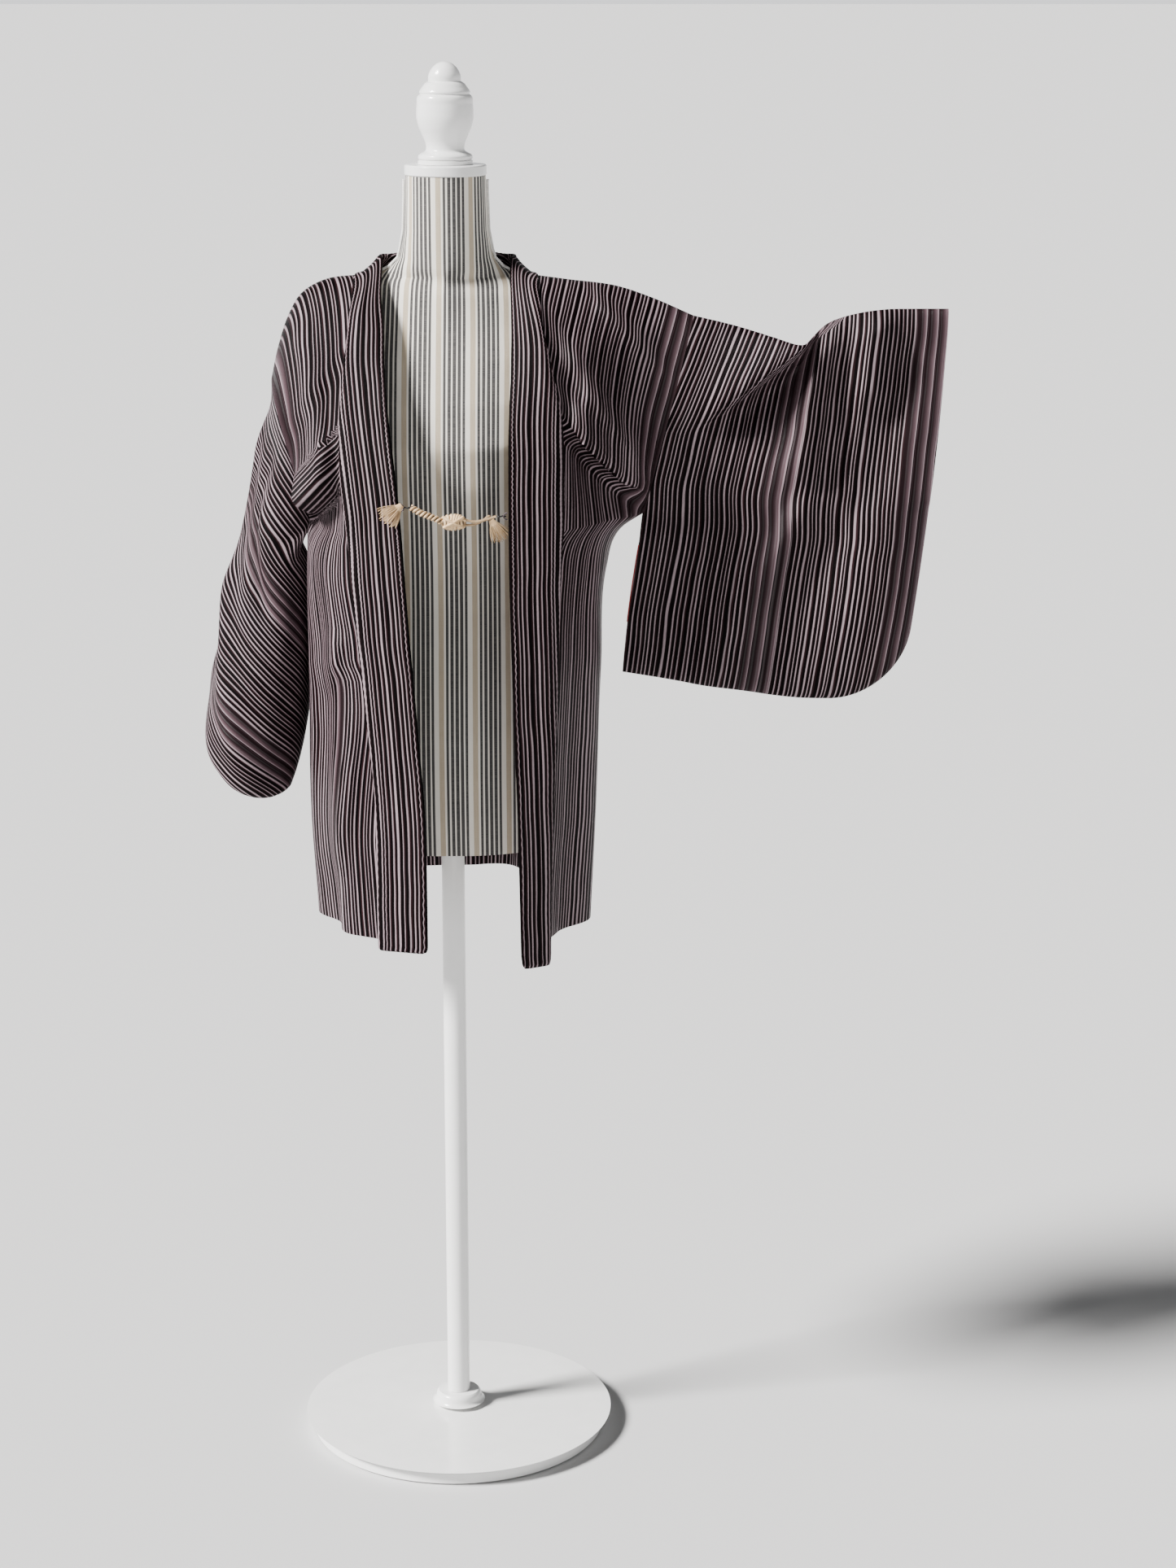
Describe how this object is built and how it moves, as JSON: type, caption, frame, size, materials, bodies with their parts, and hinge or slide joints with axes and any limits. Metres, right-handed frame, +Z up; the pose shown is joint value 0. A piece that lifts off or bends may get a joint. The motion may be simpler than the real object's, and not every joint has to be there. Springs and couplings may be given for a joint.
{
  "type": "haori on a dress form",
  "caption": "Open-fronted short kimono jacket of striped silk with a cord tie, worn by a limbless dress form on a pole stand; one sleeve is held out sideways and one hangs.",
  "frame": {"origin": "centre of the stand's base on the floor", "axes": "+Z up along the pole, -Y the way the garment faces, +X to the wearer's left, the side of the held-out sleeve"},
  "size_m": [0.9095, 0.38, 1.75],
  "materials": {
    "striped_silk": "soft semi-lustrous silk, striped along the warp",
    "red_lining": "smooth",
    "cream_braid": "braided silk cord",
    "black_hook": "satin",
    "striped_linen": "matt, striped weave",
    "white_piping": "matt trim",
    "white_paint": "glossy white"
  },
  "bodies": {
    "root": {"body_left": "striped_silk", "body_right": "striped_silk", "gusset_left": "striped_silk", "gusset_right": "striped_silk", "sleeve_left": "striped_silk", "sleeve_right": "striped_silk", "collar": "striped_silk", "sleeve_lining_left": "red_lining", "collar_loop_left": "striped_silk", "collar_loop_right": "striped_silk", "hook_left": "black_hook", "hook_right": "black_hook", "himo_braid": "cream_braid", "himo_knot": "cream_braid", "himo_cord_upper": "cream_braid", "himo_cord_lower": "cream_braid", "tassel_left": "cream_braid", "tassel_right": "cream_braid", "form_torso": "striped_linen", "neck_piping_left": "white_piping", "neck_piping_right": "white_piping", "neck_disc": "white_paint", "finial": "white_paint", "stand_pole": "white_paint", "stand_base": "white_paint"}
  },
  "joints": []
}
